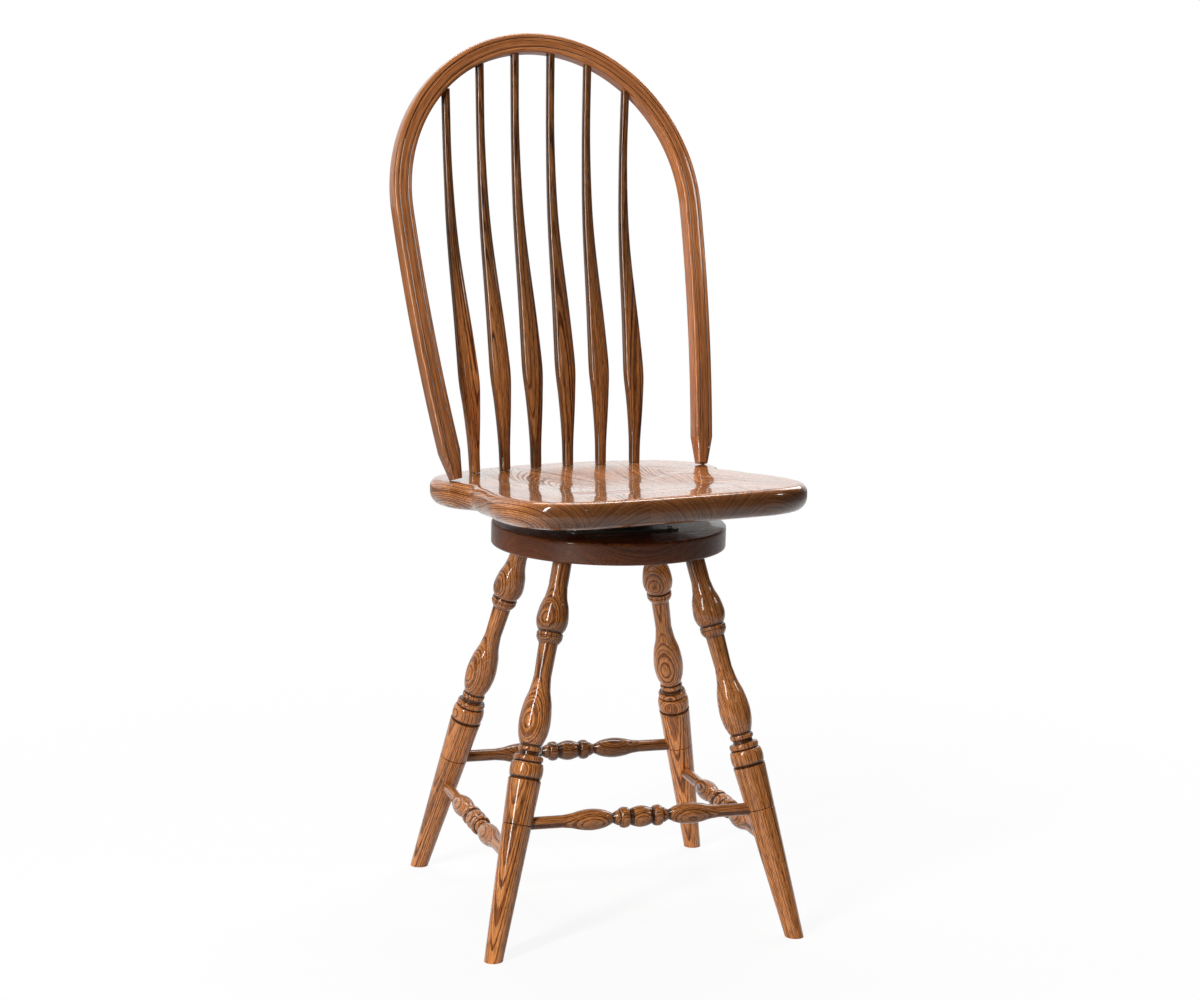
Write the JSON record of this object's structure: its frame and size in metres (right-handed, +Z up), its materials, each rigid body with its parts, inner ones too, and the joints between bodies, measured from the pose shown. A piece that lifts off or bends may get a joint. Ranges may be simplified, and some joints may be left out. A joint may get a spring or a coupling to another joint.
{
  "type": "swivel bar stool",
  "caption": "Swivel counter stool with a bow back: splayed turned legs and stretchers carry a round disk and a ball-bearing swivel under a shaped wooden seat with a hoop and paddle spindles.",
  "frame": {"origin": "On the floor, below the middle of the stool's whole width and depth.", "axes": "+Z is up. The seat faces -Y, with its hoop at +Y, and +X is to the right for someone who stands in front and looks at the seat. The base is turned 12 degrees clockwise, seen from above, under the seat, as in the picture."},
  "size_m": [0.5382, 0.5428, 1.2274],
  "materials": {
    "oak": "stained oak under a glossy clear varnish",
    "dark_oak": "darker stained oak under a glossy clear varnish",
    "black_steel": "semi-gloss black baked enamel on pressed sheet",
    "bright_steel": "zinc-plated, slightly dull",
    "nylon": "natural nylon, greased"
  },
  "bodies": {
    "base": {"leg_front_left": "oak", "leg_front_right": "oak", "leg_back_left": "oak", "leg_back_right": "oak", "stretcher_front": "oak", "stretcher_back": "oak", "stretcher_left": "oak", "stretcher_right": "oak", "base_disk": "dark_oak", "base_screws": "bright_steel", "swivel_lower_plate": "black_steel", "swivel_rivet": "bright_steel", "bearing_balls": "bright_steel", "bearing_cage": "nylon"},
    "seat_and_back": {"swivel_upper_plate": "black_steel", "seat_screws": "bright_steel", "seat": "oak", "bow_hoop": "oak", "spindle_1": "oak", "spindle_2": "oak", "spindle_3": "oak", "spindle_4": "oak", "spindle_5": "oak", "spindle_6": "oak"}
  },
  "joints": [
    {"name": "seat_swivel", "type": "hinge", "parent": "base", "child": "seat_and_back", "pos_m": [0, -0.0023, 0.5625], "axis": [0, 0, 1], "continuous": true}
  ]
}
